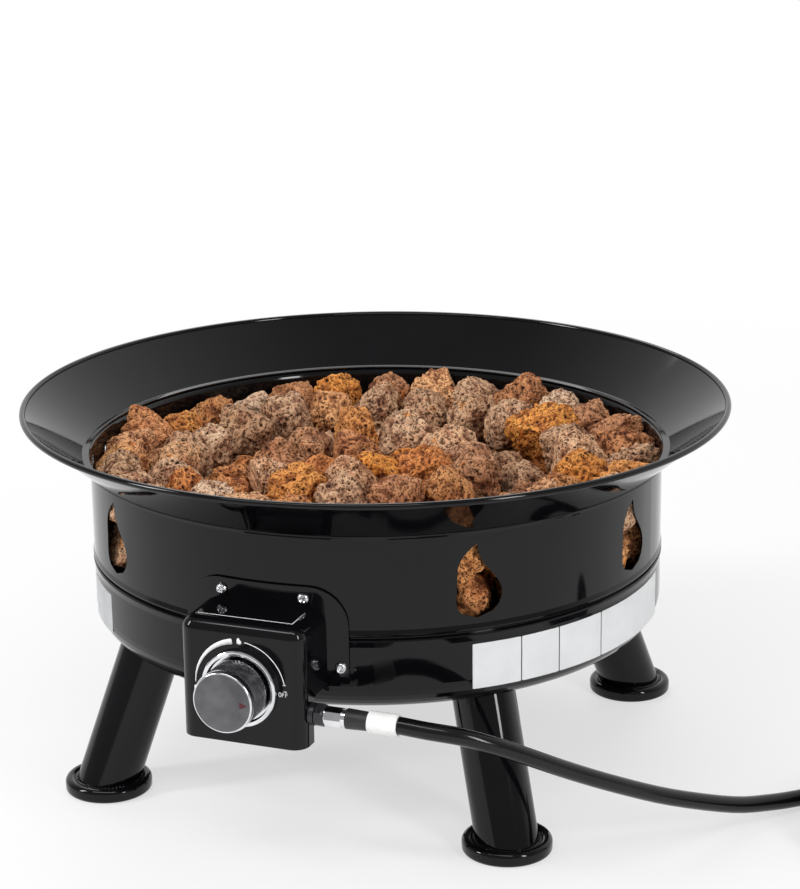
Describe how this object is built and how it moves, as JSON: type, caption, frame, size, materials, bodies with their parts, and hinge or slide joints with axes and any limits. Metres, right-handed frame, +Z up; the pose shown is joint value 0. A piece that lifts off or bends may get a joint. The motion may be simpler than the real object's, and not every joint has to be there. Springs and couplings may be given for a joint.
{
  "type": "gas fire pit",
  "caption": "Round gas fire bowl with a flared rim, flame-shaped vents and lava rock, on splayed tube legs, with a knob-operated valve housing and a coiled hose with regulator.",
  "frame": {"origin": "on the bowl's axis at the level on which the four feet stand", "axes": "+Z up along the bowl's axis, -Y out of the control knob, +X to the right as seen from the front"},
  "size_m": [0.9836, 0.6328, 0.318],
  "materials": {
    "gloss_enamel": "gloss enamel",
    "zinc_steel": "zinc plated",
    "burner_steel": "heat stained",
    "brass": "machined",
    "chrome": "polished",
    "brushed_face": "brushed",
    "dark_plastic": "satin",
    "pale_plastic": "satin",
    "black_fitting": "satin black",
    "white_tag": "smooth",
    "hose_rubber": "smooth rubber",
    "cast_metal": "die cast",
    "lava_rock": "rough porous stone"
  },
  "bodies": {
    "bowl": {"rim_ring": "gloss_enamel", "upper_shell": "gloss_enamel", "base_pan": "gloss_enamel", "control_housing": "gloss_enamel", "leg_front_left": "gloss_enamel", "leg_front_right": "gloss_enamel", "leg_rear_left": "gloss_enamel", "leg_rear_right": "gloss_enamel", "foot_front_left": "gloss_enamel", "foot_front_right": "gloss_enamel", "foot_rear_left": "gloss_enamel", "foot_rear_right": "gloss_enamel", "leg_caps": "gloss_enamel", "hearth_plate": "zinc_steel", "clamp_screws": "zinc_steel", "burner_brackets": "zinc_steel", "burner_screws": "zinc_steel", "mixer_tube": "zinc_steel", "air_shutter": "zinc_steel", "valve_screws": "zinc_steel", "housing_screws": "zinc_steel", "leg_bolts": "zinc_steel", "leg_nuts": "zinc_steel", "bonnet_screws": "zinc_steel", "burner_ring": "burner_steel", "gas_orifice": "brass", "valve_body": "brass", "end_ferrule": "brass", "coupling_nipple": "brass", "knob_bezel": "chrome", "hose_ferrule": "chrome", "coil_tie": "dark_plastic", "inlet_elbow": "black_fitting", "inlet_nut": "black_fitting", "hose_tag": "white_tag", "hose_run": "hose_rubber", "hose_coil": "hose_rubber", "hose_sleeve": "hose_rubber", "regulator_body": "cast_metal", "regulator_bonnet": "cast_metal", "lava_rocks_low": "lava_rock", "lava_rocks_inner": "lava_rock", "lava_rocks_outer": "lava_rock"},
    "push_carrier": {"push_collar": "pale_plastic", "stem_spring": "zinc_steel"},
    "knob": {"valve_stem": "zinc_steel", "knob_body": "dark_plastic", "knob_rings": "chrome", "knob_cap": "brushed_face"},
    "hand_nut": {"coupling_nut": "dark_plastic"}
  },
  "joints": [
    {"name": "knob_push", "type": "slide", "parent": "bowl", "child": "push_carrier", "axis": [0, 1, 0], "range_m": [0, 0.003], "stiffness_N_per_m": 1500, "springref_m": -0.001},
    {"name": "knob_turn", "type": "hinge", "parent": "push_carrier", "child": "knob", "pos_m": [0, -0.31, 0.16], "axis": [0, -1, 0], "range_deg": [0, 180]},
    {"name": "hand_nut_turn", "type": "hinge", "parent": "bowl", "child": "hand_nut", "pos_m": [0.49917, 0.04782, 0.0232], "axis": [1, 0, 0], "continuous": true}
  ]
}
